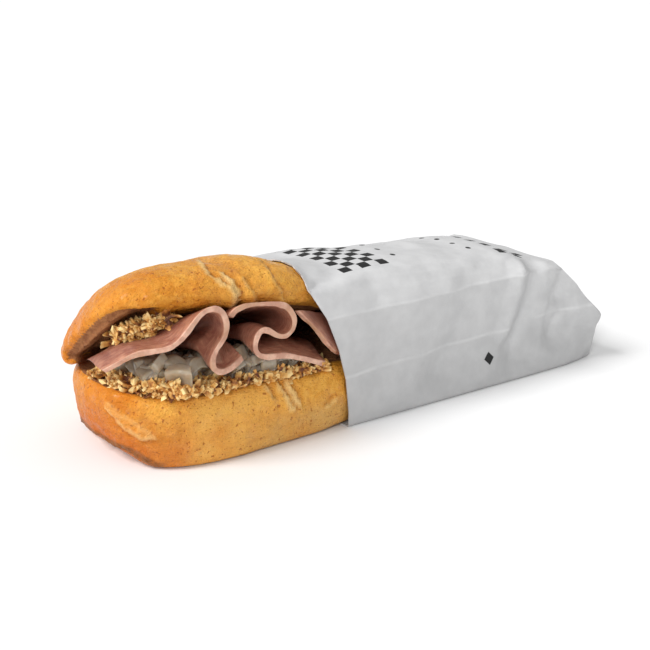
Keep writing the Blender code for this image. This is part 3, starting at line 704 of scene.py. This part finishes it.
def bent_strip():
    """A fried strip: a thin bar with a bend and a twist."""
    bpy.ops.mesh.primitive_cube_add(size=2.0)
    strip = bpy.context.object
    strip.data.transform(Matrix.Diagonal((1.0, 0.3, 0.16, 1.0)))
    bpy.ops.object.mode_set(mode="EDIT")
    bpy.ops.mesh.subdivide(number_cuts=4)
    bpy.ops.object.mode_set(mode="OBJECT")
    points = read_points(strip)
    seed = draws.uniform(0.0, 50.0)
    points[:, 2] += draws.uniform(0.2, 0.6) * points[:, 0] ** 2
    points *= STRIP_LENGTH * (1.0 + 0.4 * noise_at(points, 0.5, seed))[:, None]
    write_points(strip, points)
    apply_modifier(strip, "DECIMATE", ratio=0.35)
    return take_mesh(strip)


def onion_tile():
    """A raw chunk: a tile cut from a curved layer, with soft corners."""
    bpy.ops.mesh.primitive_cube_add(size=2.0)
    tile = bpy.context.object
    tile.data.transform(Matrix.Diagonal((1.0, draws.uniform(0.75, 1.0), draws.uniform(0.5, 0.75), 1.0)))
    bpy.ops.object.mode_set(mode="EDIT")
    bpy.ops.mesh.subdivide(number_cuts=3)
    bpy.ops.object.mode_set(mode="OBJECT")
    points = read_points(tile)
    points[:, 2] -= draws.uniform(0.2, 0.4) * points[:, 0] ** 2
    points[:, :2] *= 1.0 - 0.12 * points[:, 2:3]
    points *= (1.0 + 0.10 * noise_at(points, 0.8, draws.uniform(0.0, 50.0)))[:, None]
    write_points(tile, points)
    apply_modifier(tile, "BEVEL", width=0.12, segments=1, limit_method="ANGLE",
                   angle_limit=math.radians(50))
    apply_modifier(tile, "SUBSURF", levels=1, render_levels=1)
    return take_mesh(tile)


crumb_kinds = [craggy_crumb() for _ in range(7)] + [bent_strip() for _ in range(4)]
tile_kinds = [onion_tile() for _ in range(5)]
print("Triangles of each crumb:", [len(faces) for _, faces, _ in crumb_kinds])
print("Triangles of each tile:", [len(faces) for _, faces, _ in tile_kinds])

# %% [markdown]
# A heap is scattered over the skin of its CAD solid: spots are drawn on the faces that look
# forward or up, by area, and each gets a piece that is turned at random. A piece that would
# reach into the beef or the bread is drawn in or left out.

# %% Scatter
surroundings = [BVHTree.FromObject(obj, bpy.context.evaluated_depsgraph_get())
                for obj in beef_objects + [roll]]


def room_at(spot):
    """The distance from a spot to the nearest slice or to the bread."""
    return min(tree_of.find_nearest(spot)[3] for tree_of in surroundings)


def is_blocked(spot, arms):
    """Whether a slice or the bread lies between a spot and a piece's points round it."""
    return any(tree_of.ray_cast(spot, Vector(arm), Vector(arm).length)[0] is not None
               for arm in arms[::5] for tree_of in surroundings)


def skin_spots(node, count, faces_out):
    """Random spots on a CAD solid's skin with their normals, where faces_out(normal) is more than 0."""
    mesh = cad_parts[node].data
    mesh.calc_loop_triangles()
    corners = [[mesh.vertices[i].co for i in face.vertices] for face in mesh.loop_triangles]
    weights = [face.area * max(faces_out(face.normal), 0.0) for face in mesh.loop_triangles]
    spots = []
    for index in draws.choices(range(len(corners)), weights, k=count):
        a, b = draws.random(), draws.random()
        if a + b > 1.0:
            a, b = 1.0 - a, 1.0 - b
        first, second, third = corners[index]
        spots.append((first + a * (second - first) + b * (third - first),
                      mesh.loop_triangles[index].normal.copy()))
    return spots


def random_turn():
    """A turn about a random axis."""
    axis = Vector([draws.gauss(0.0, 1.0) for _ in range(3)]).normalized()
    return Matrix.Rotation(draws.uniform(0.0, 2.0 * math.pi), 3, axis)


# Low tones for the heap's core and for the pits of each piece: the onion materials paint them dark, as
# painted shade in the gaps and pits.
CORE_SHADE_TONE = 0.15
PIT_SHADE_TONE = 0.9


def heap_object(name, core, placed):
    """One object of a core and of many placed pieces, each with its own tone from 0 to 1."""
    all_points, all_faces, tones = [core[0]], [core[1]], [np.full(len(core[0]), CORE_SHADE_TONE)]
    total = len(core[0])
    for (kind_points, kind_faces, kind_reach), turn, size, spot, tone in placed:
        all_points.append(kind_points @ np.array(turn).T * size + np.array(spot))
        all_faces.append(kind_faces + total)
        # The pits of each piece get lower tones, which are painted darker: painted shade.
        tones.append(tone + PIT_SHADE_TONE * kind_reach)
        total += len(kind_points)
    points, faces = np.concatenate(all_points), np.concatenate(all_faces)
    data = bpy.data.meshes.new(name)
    data.from_pydata(points.tolist(), [], faces.tolist())
    obj = bpy.data.objects.new(name, data)
    bpy.context.scene.collection.objects.link(obj)
    write_mask(obj, "tone", np.concatenate(tones))
    data.shade_smooth()
    data.set_sharp_from_angle(angle=math.radians(38))
    return obj


def shrunk_core(node, by):
    """The heap's core: the CAD solid, drawn in all round."""
    core = welded_copy(node, node + "_core")
    points = read_points(core) - by * read_normals(core)
    write_points(core, points)
    return take_mesh(core)


print("Clear of", len(surroundings), "objects")

# %% [markdown]
# Fried onion is strewn by the spoonful. It covers both of its own heaps, and loose crumbs lie
# on the open crumb of the base round them, as far as the near end.

# %% Crisp onion
CRUMB_RADIUS = 0.0015


def scatter_crisp(node, count, name, extra_spots):
    """Crisp crumbs and strips over a heap, out to a crumb's width ahead of it, and on extra spots."""
    placed = []
    spots = skin_spots(node, count, lambda n: 0.25 + max(-n.y, n.z)) + extra_spots
    for spot, normal in spots:
        size = CRUMB_RADIUS * draws.uniform(0.45, 1.25)
        kind = draws.choice(crumb_kinds)
        spot = spot + normal * draws.uniform(-0.3, 0.5) * size
        if room_at(spot) < 0.3 * size:
            continue
        tone = min(max(draws.gauss(0.56, 0.24), 0.05), 1.0)
        placed.append((kind, random_turn(), size, spot, tone))
    print(f"{name}: {len(placed)} pieces")
    return heap_object(name, shrunk_core(node, 0.0005), placed)


bread_points, bread_normals = read_points(roll), read_normals(roll)
bread_crumb = np.empty(len(bread_points), np.float32)
roll.data.attributes["crumb"].data.foreach_get("value", bread_crumb)
x, y, z = bread_points.T
open_part = (x < -0.040) & (y < 0.002 + 0.3 * (-0.08 - x))
on_base = (bread_crumb > 0.3) & (bread_normals[:, 2] > 0.5) & (z < 0.040) & open_part
loose = [(Vector(bread_points[i]) + 0.0007 * Vector(bread_normals[i]), Vector(bread_normals[i]))
         for i in draws.choices(np.flatnonzero(on_base).tolist(), k=520)]
crisp_layer = scatter_crisp("crisp_onion_layer", 2100, "crisp_onion_on_bread", loose)
crisp_pocket = scatter_crisp("crisp_onion_pocket", 620, "crisp_onion_under_lid", [])

# %% [markdown]
# The raw chunks lie between the beef and the fried onion and fill that hollow. Where a chunk
# would stick through a slice it is made smaller, and left out if it is tiny then.

# %% Raw onion
SMALLEST = 0.0018
TILE_HALF = 0.0044
placed = []
for spot, normal in skin_spots("diced_onion", 150, lambda n: 0.1 + max(-n.y, 0.6 * n.z)):
    kind, turn = draws.choice(tile_kinds), random_turn()
    size = TILE_HALF * draws.uniform(0.75, 1.1)
    spot = spot - normal * draws.uniform(0.2, 0.5) * size
    while size > SMALLEST and is_blocked(spot, kind[0] @ np.array(turn).T * size):
        size *= 0.8
    if size > SMALLEST:
        placed.append((kind, turn, size, spot, draws.uniform(0.4, 1.0)))
raw_onion = heap_object("raw_onion_dice", shrunk_core("diced_onion", 0.0012), placed)
print(f"raw_onion_dice: {len(placed)} pieces")

# %% [markdown]
# Crisp onion runs from cream through gold to dark brown, crumb by crumb. Each crumb is painted
# darker in its pits, and the heap's core is painted dark where it shows between crumbs: painted
# shade. Raw onion is wet and half clear: light goes some way in, so it has a share of
# transmission and a tight gloss, over a warm white, and its core and the pits of its chunks
# are painted dark brown, painted shade.

# %% Onion materials
crisp_finish, tree, shader = new_material("crisp_onion", Roughness=0.55)
tone = mask_in(tree, "tone")
mottled_tone = calculate(tree, "ADD", tone,
                         calculate(tree, "SUBTRACT", noise_in(tree, place_in(tree), 700.0, 3.0), 0.5))
ramp = tree.nodes.new("ShaderNodeValToRGB")
tree.links.new(mottled_tone, ramp.inputs["Fac"])
TONES = ((0.0, (0.13, 0.035, 0.008)), (0.25, (0.44, 0.17, 0.030)), (0.55, (0.70, 0.38, 0.10)),
         (1.0, (0.88, 0.64, 0.28)))
while len(ramp.color_ramp.elements) < len(TONES):
    ramp.color_ramp.elements.new(0.5)
for element, (place_on_ramp, colour) in zip(ramp.color_ramp.elements, TONES):
    element.position = place_on_ramp
    element.color = tint(*colour)
tree.links.new(ramp.outputs["Color"], shader.inputs["Base Color"])
crisp_grain = use_group(tree, grain, Scale=1500.0, Coarse=0.7, Fine=0.3).outputs["Height"]
roughen(tree, shader, crisp_grain, 0.5, 0.0003)
dress(crisp_layer, "crisp_onion_layer", crisp_finish)
dress(crisp_pocket, "crisp_onion_pocket", crisp_finish)

wet_onion, tree, shader = new_material("raw_onion", Roughness=0.08, IOR=1.36, Transmission_Weight=0.60,
                                       Coat_Weight=0.6, Coat_Roughness=0.06,
                                       Subsurface_Weight=0.5, Subsurface_Scale=0.003)
shader.inputs["Subsurface Radius"].default_value = (1.0, 0.8, 0.6)
cloudy = mottled(tree, (0.95, 0.80, 0.61), (0.82, 0.64, 0.44), 230.0, 0.1)
# Painted shade: the heap's core and the pits of the chunks have low tones and are painted dark brown.
painted_shade_deep = spread(tree, mask_in(tree, "tone"), 0.40, 0.15)
tree.links.new(blend(tree, painted_shade_deep, cloudy, tint(0.24, 0.14, 0.07)), shader.inputs["Base Color"])
layer_lines = noise_in(tree, place_in(tree, scale=(1.0, 1.0, 4.0)), 260.0, 2.0)
roughen(tree, shader, layer_lines, 0.25, 0.0004)
dress(raw_onion, "diced_onion", wet_onion)

# %% [markdown]
# ## The paper sleeve
#
# The sleeve is greaseproof paper with a gusset in each side: it stands off the roll in
# soft panels, and its folds stay as faint sharp lines. The CAD sleeve has the folds. It is
# cut into small faces, and its points are moved in and out by a few millimetres, so that each
# crease is a ridge or a valley and the panels between are softly dented. In the middle of the
# end panel, where out has no direction, the points stay.

# %% Crease the paper
CREASES = (
    # height, width, places along the crease
    (-0.0016, 0.0150, ((-0.0220, -0.0406, 0.0212), (0.0047, -0.0406, 0.0218), (0.0618, -0.0403, 0.0228),
                       (0.0950, -0.0380, 0.0250))),
    (-0.0036, 0.0110, ((0.0845, -0.0385, 0.0460), (0.0790, -0.0390, 0.0330), (0.0730, -0.0400, 0.0190),
                       (0.0690, -0.0405, 0.0060))),
    (-0.0034, 0.0085, ((0.0985, -0.0371, 0.0440), (0.0974, -0.0373, 0.0344), (0.0978, -0.0376, 0.0231),
                       (0.0933, -0.0385, 0.0142))),
    (0.0024, 0.0075, ((0.0725, -0.0385, 0.0471), (0.0688, -0.0394, 0.0357), (0.0647, -0.0402, 0.0227))),
    (0.0012, 0.0060, ((0.0801, -0.0381, 0.0333), (0.0891, -0.0375, 0.0297), (0.0964, -0.0375, 0.0279))),
    (0.0026, 0.0065, ((0.0977, -0.0376, 0.0254), (0.1081, -0.0383, 0.0226), (0.1159, -0.0393, 0.0210))),
    (-0.0018, 0.0120, ((0.0425, -0.0392, 0.0406), (0.0339, -0.0403, 0.0254), (0.0286, -0.0405, 0.0171))),
    (-0.0016, 0.0090, ((0.0710, -0.0400, 0.0155), (0.0426, -0.0402, 0.0127), (0.0208, -0.0404, 0.0110))),
    (-0.0006, 0.0100, ((-0.0100, -0.0200, 0.0610), (0.0100, 0.0050, 0.0600), (0.0180, 0.0220, 0.0560))),
    (-0.0006, 0.0100, ((0.0380, -0.0340, 0.0550), (0.0520, -0.0050, 0.0560), (0.0480, 0.0200, 0.0530))),
)
# Size and height of the dents
DENTS = ((0.036, 0.0015), (0.016, 0.0008), (0.006, 0.00014))
FACE_LENGTH = 0.0021
MIDDLE_HEIGHT = 0.020
MIDDLE_RADIUS = 0.012
PASSES = 7
sleeve = welded_copy("paper_sleeve", "greaseproof_sleeve")
for _ in range(PASSES):
    lengths = np.array([(sleeve.data.vertices[edge.vertices[0]].co
                         - sleeve.data.vertices[edge.vertices[1]].co).length for edge in sleeve.data.edges])
    select_only(sleeve)
    bpy.ops.object.mode_set(mode="EDIT")
    bpy.ops.mesh.select_mode(type="EDGE")
    bpy.ops.mesh.select_all(action="DESELECT")
    bpy.ops.object.mode_set(mode="OBJECT")
    sleeve.data.edges.foreach_set("select", lengths > FACE_LENGTH)
    bpy.ops.object.mode_set(mode="EDIT")
    bpy.ops.mesh.subdivide(number_cuts=1)
    bpy.ops.mesh.select_all(action="SELECT")
    bpy.ops.mesh.quads_convert_to_tris()
    bpy.ops.object.mode_set(mode="OBJECT")
points, normals = read_points(sleeve), read_normals(sleeve)
outward = points * (0.0, 1.0, 1.0) - (0.0, 0.0, MIDDLE_HEIGHT)
outward /= np.maximum(np.linalg.norm(outward, axis=1), MIDDLE_RADIUS)[:, None]
relief = np.zeros(len(points))
for height, width, line in CREASES:
    relief += height * np.clip(1.0 - line_distance(points, line) / width, 0.0, 1.0)
for size, height in DENTS:
    relief += height * noise_at(points, size, seed=size * 700)
mouth_x = points[:, 0].min()
free = ease((points[:, 2] - 0.0015) / 0.006)
relief = np.where(relief < 0.0, relief * ease((points[:, 0] - mouth_x - 0.014) / 0.02), relief)
print(f"{len(points)} points, relief from {relief.min() * 1000:.2f} to {relief.max() * 1000:.2f} mm")

# %% [markdown]
# Above the long fold of the side, the paper slants back over the shoulder of the roll. It
# is drawn in there to a nearly flat panel between the fold and the edge of the roof. At the
# mouth the roof lies on the crust of the lid: each point is drawn in until the inner face
# all but touches the crust, and a point that would cut into the crust is pushed out of it.

# %% Slant the shoulder and draw the mouth in
PAPER = 0.0005
FOLD_Y, FOLD_Z = -0.0390, 0.0460
SHOULDER_Y = -0.0315
SHOULDER_HEIGHTS = ((-0.036, 0.0636), (0.006, 0.0582), (0.045, 0.0550), (0.073, 0.0521), (0.090, 0.0470))
SLANT_SHARE = 0.75
inner = np.where((normals * outward).sum(axis=1) > 0.0, 0.0, PAPER)
top = np.interp(points[:, 0], [x for x, _ in SHOULDER_HEIGHTS], [z for _, z in SHOULDER_HEIGHTS])
up_share = np.clip((points[:, 2] - FOLD_Z) / (top - FOLD_Z), 0.0, 1.0)
slanted_y = FOLD_Y + up_share * (SHOULDER_Y - FOLD_Y) + inner
slant = np.where((points[:, 1] < SHOULDER_Y + 0.002) & (points[:, 2] > FOLD_Z),
                 np.clip(slanted_y - points[:, 1], 0.0, None), 0.0)
slant *= SLANT_SHARE * (1.0 - ease((points[:, 0] - 0.078) / 0.010))

MOUTH_GAP = 0.0004
MOUTH_REACH = 0.045
# Paper this far from the crust is drawn in wholly, and not at all
FARTHEST = (0.006, 0.012)
# The drawing in starts at the first height and is whole at the second
ROOF_HEIGHTS = (0.056, 0.063)
crust_skin = BVHTree.FromObject(roll, bpy.context.evaluated_depsgraph_get())
drawn_in = np.zeros(len(points))
for index, (point, way) in enumerate(zip(points, outward)):
    if point[0] > mouth_x + MOUTH_REACH or point[2] < ROOF_HEIGHTS[0]:
        continue
    distance = crust_skin.ray_cast(Vector(point), -Vector(way), FARTHEST[1])[3]
    if distance is None:
        continue
    share = ease((FARTHEST[1] - distance) / (FARTHEST[1] - FARTHEST[0]))
    share *= 1.0 - ease((point[0] - mouth_x) / MOUTH_REACH)
    share *= ease((point[2] - ROOF_HEIGHTS[0]) / (ROOF_HEIGHTS[1] - ROOF_HEIGHTS[0]))
    drawn_in[index] = share * max(distance - MOUTH_GAP - (PAPER - inner[index]), 0.0)
drawn_in = blur(sleeve, drawn_in, 3)
moved = points + outward * (relief * free - drawn_in)[:, None]
moved[:, 1] += blur(sleeve, slant, 2)
for index in np.flatnonzero((moved[:, 0] < mouth_x + MOUTH_REACH) & (moved[:, 2] > 0.040)):
    nearest, crust_normal = crust_skin.find_nearest(Vector(moved[index]), 0.005)[:2]
    if nearest is not None:
        height_over = (Vector(moved[index]) - nearest) @ crust_normal
        wanted = MOUTH_GAP + (PAPER - inner[index])
        moved[index] += np.array(crust_normal) * max(wanted - height_over, 0.0)
write_points(sleeve, moved)
select_only(sleeve)
bpy.ops.object.shade_smooth_by_angle(angle=math.radians(24))
print(f"The shoulder slants by up to {slant.max() * 1000:.1f} mm, "
      f"the mouth by {drawn_in.max() * 1000:.1f} mm")

# %% [markdown]
# The print is black on white, in plain shapes only: two bands of small checks across the
# roof, rows of dots beside them, and one small diamond on the side.

# %% Print of the paper
paper, tree, shader = new_material("greaseproof_paper", Roughness=0.6, Specular_IOR_Level=0.3)
object_space = place_in(tree)
place = add_node(tree, "ShaderNodeSeparateXYZ", Vector=object_space)
along, across, height = place.outputs["X"], place.outputs["Y"], place.outputs["Z"]


def offset(value, middle):
    """The distance from a place on one axis."""
    return calculate(tree, "ABSOLUTE", calculate(tree, "SUBTRACT", value, middle))


def within(distance, radius):
    """Ink within a radius."""
    return spread(tree, distance, radius + 0.0001, radius - 0.0001)


def disc(x, y):
    """The distance in plan from a place on the roof."""
    dx, dy = offset(along, x), offset(across, y)
    return calculate(tree, "SQRT", calculate(tree, "ADD", product(tree, dx, dx), product(tree, dy, dy)))


CHECK = 0.0046
# Middle of each band along the roll, and half its width
BANDS = ((-0.0023, 0.0115), (0.0782, 0.0092))
BAND_LENGTH = 12 * CHECK
DOT_ROWS = (0.017, 0.058)
DOT_STEP = 0.010
DOT_RADIUS = 0.0012
DIAMOND_X, DIAMOND_Z, DIAMOND_RADIUS = 0.055, 0.0125, 0.0028
flat_space = add_node(tree, "ShaderNodeCombineXYZ", X=along, Y=across).outputs["Vector"]
checks = add_node(tree, "ShaderNodeTexChecker", Vector=flat_space, Scale=1.0 / CHECK).outputs["Fac"]
roof_ink = 0.0
for band_x, half_width in BANDS:
    in_band = product(tree, within(offset(along, band_x), half_width),
                      within(offset(across, 0.0), BAND_LENGTH / 2))
    roof_ink = calculate(tree, "MAXIMUM", roof_ink, product(tree, in_band, checks))
for row_x in DOT_ROWS:
    for step in range(-2, 3):
        roof_ink = calculate(tree, "MAXIMUM", roof_ink, within(disc(row_x, DOT_STEP * step), DOT_RADIUS))
on_roof = spread(tree, height, 0.0440, 0.0445)
from_diamond = calculate(tree, "ADD", offset(along, DIAMOND_X), offset(height, DIAMOND_Z))
on_side = spread(tree, across, -0.036, -0.037)
ink = calculate(tree, "MAXIMUM", product(tree, roof_ink, on_roof),
                product(tree, within(from_diamond, DIAMOND_RADIUS), on_side))
print("Print:", len(tree.nodes), "nodes")

# %% [markdown]
# Along the two long folds a thin line is painted lighter, a painted highlight, and bumped.
# Below the upper fold the gusset sides are painted a little greyer, painted shade, most of
# all low down.

# %% Folds, painted highlight and painted shade of the paper
clean_paper = mottled(tree, (0.630, 0.630, 0.632), (0.570, 0.570, 0.573), 150.0, 0.05)
BLACK, INK, FOLD_HIGHLIGHT = tint(0.0, 0.0, 0.0), tint(0.012, 0.012, 0.012), tint(0.74, 0.74, 0.74)
UPPER_FOLD = FOLD_Z - 0.0007
wobble = product(tree, noise_in(tree, object_space, 55.0), 0.0014)
gusset_height = calculate(tree, "ADD", product(tree, along, 0.03), 0.0212)
# Painted highlight: a thin lighter line along the gusset fold and the upper fold on the front side. The
# same lines are bumped.
folds = 0.0
for fold_height, fold_width in ((gusset_height, 0.00035), (UPPER_FOLD, 0.0003)):
    away = offset(height, calculate(tree, "ADD", wobble, fold_height))
    folds = calculate(tree, "MAXIMUM", folds, spread(tree, away, fold_width * 3.0, fold_width * 0.5))
folds = product(tree, folds, spread(tree, across, -0.034, -0.036))
folds = product(tree, folds, spread(tree, noise_in(tree, object_space, 120.0), 0.35, 0.6, 0.3, 1.0))

# Painted shade: the gusset sides are painted greyer below the upper fold, and greyer still low down.
straight_height = calculate(tree, "SUBTRACT", height, wobble)
painted_shade_under_fold = spread(tree, straight_height, UPPER_FOLD, UPPER_FOLD - 0.0005, 0.0, 0.07)
painted_shade_low_down = spread(tree, height, 0.040, 0.004, 0.0, 0.15)
panel_shade = calculate(tree, "ADD", painted_shade_under_fold, painted_shade_low_down)
on_gusset = spread(tree, calculate(tree, "ABSOLUTE", across), 0.033, 0.036)
shaded_paper = blend(tree, product(tree, panel_shade, on_gusset), clean_paper, BLACK)
inked = blend(tree, ink, shaded_paper, INK)
tree.links.new(blend(tree, product(tree, folds, 0.38), inked, FOLD_HIGHLIGHT), shader.inputs["Base Color"])
fibres = use_group(tree, grain, Scale=700.0, Coarse=0.5, Fine=0.5).outputs["Height"]
roughen(tree, shader, calculate(tree, "ADD", fibres, product(tree, folds, 3.0)), 0.15, 0.0004)
dress(sleeve, "paper_sleeve", paper)

# %% [markdown]
# ## Floor and light
#
# The floor and the background are white. The sky lights everything softly. A wide sun from
# the left brightens the roof and the near end of the roll, and its shadow falls to the
# right, past the folded end. A low weak one grazes the front, so that folds and dents show.

# %% Floor and light
bpy.ops.mesh.primitive_plane_add(size=60.0, location=(0.0, 0.0, 0.0))
floor = bpy.context.object
floor.name = "floor"
white, tree, shader = new_material("floor_white", Roughness=0.9)
shader.inputs["Base Color"].default_value = tint(0.90, 0.90, 0.90)
floor.data.materials.append(white)

SKY_LIGHT = 0.54
SKY_SEEN = 1.2
world = bpy.data.worlds.new("studio")
bpy.context.scene.world = world
world.use_nodes = True
sky_tree = world.node_tree
sky = sky_tree.nodes["Background"]
seen = add_node(sky_tree, "ShaderNodeLightPath").outputs["Is Camera Ray"]
sky_tree.links.new(spread(sky_tree, seen, 0.0, 1.0, SKY_LIGHT, SKY_SEEN), sky.inputs["Strength"])
sky.inputs["Color"].default_value = tint(1.0, 1.0, 1.0)

SUNS = (
    # name, where it comes from, power, width in degrees
    ("key", (-0.97, 0.20, 1.05), 2.20, 24.0),
    ("fill", (-0.75, -0.62, 0.50), 0.95, 12.0),
)
for name, sun_from, power, width in SUNS:
    bpy.ops.object.light_add(type="SUN", location=sun_from)
    sun = bpy.context.object
    sun.name = name
    sun.data.energy = power
    sun.data.angle = math.radians(width)
    sun.rotation_euler = Vector(sun_from).to_track_quat("Z", "Y").to_euler()
bpy.context.scene.view_settings.view_transform = "Standard"
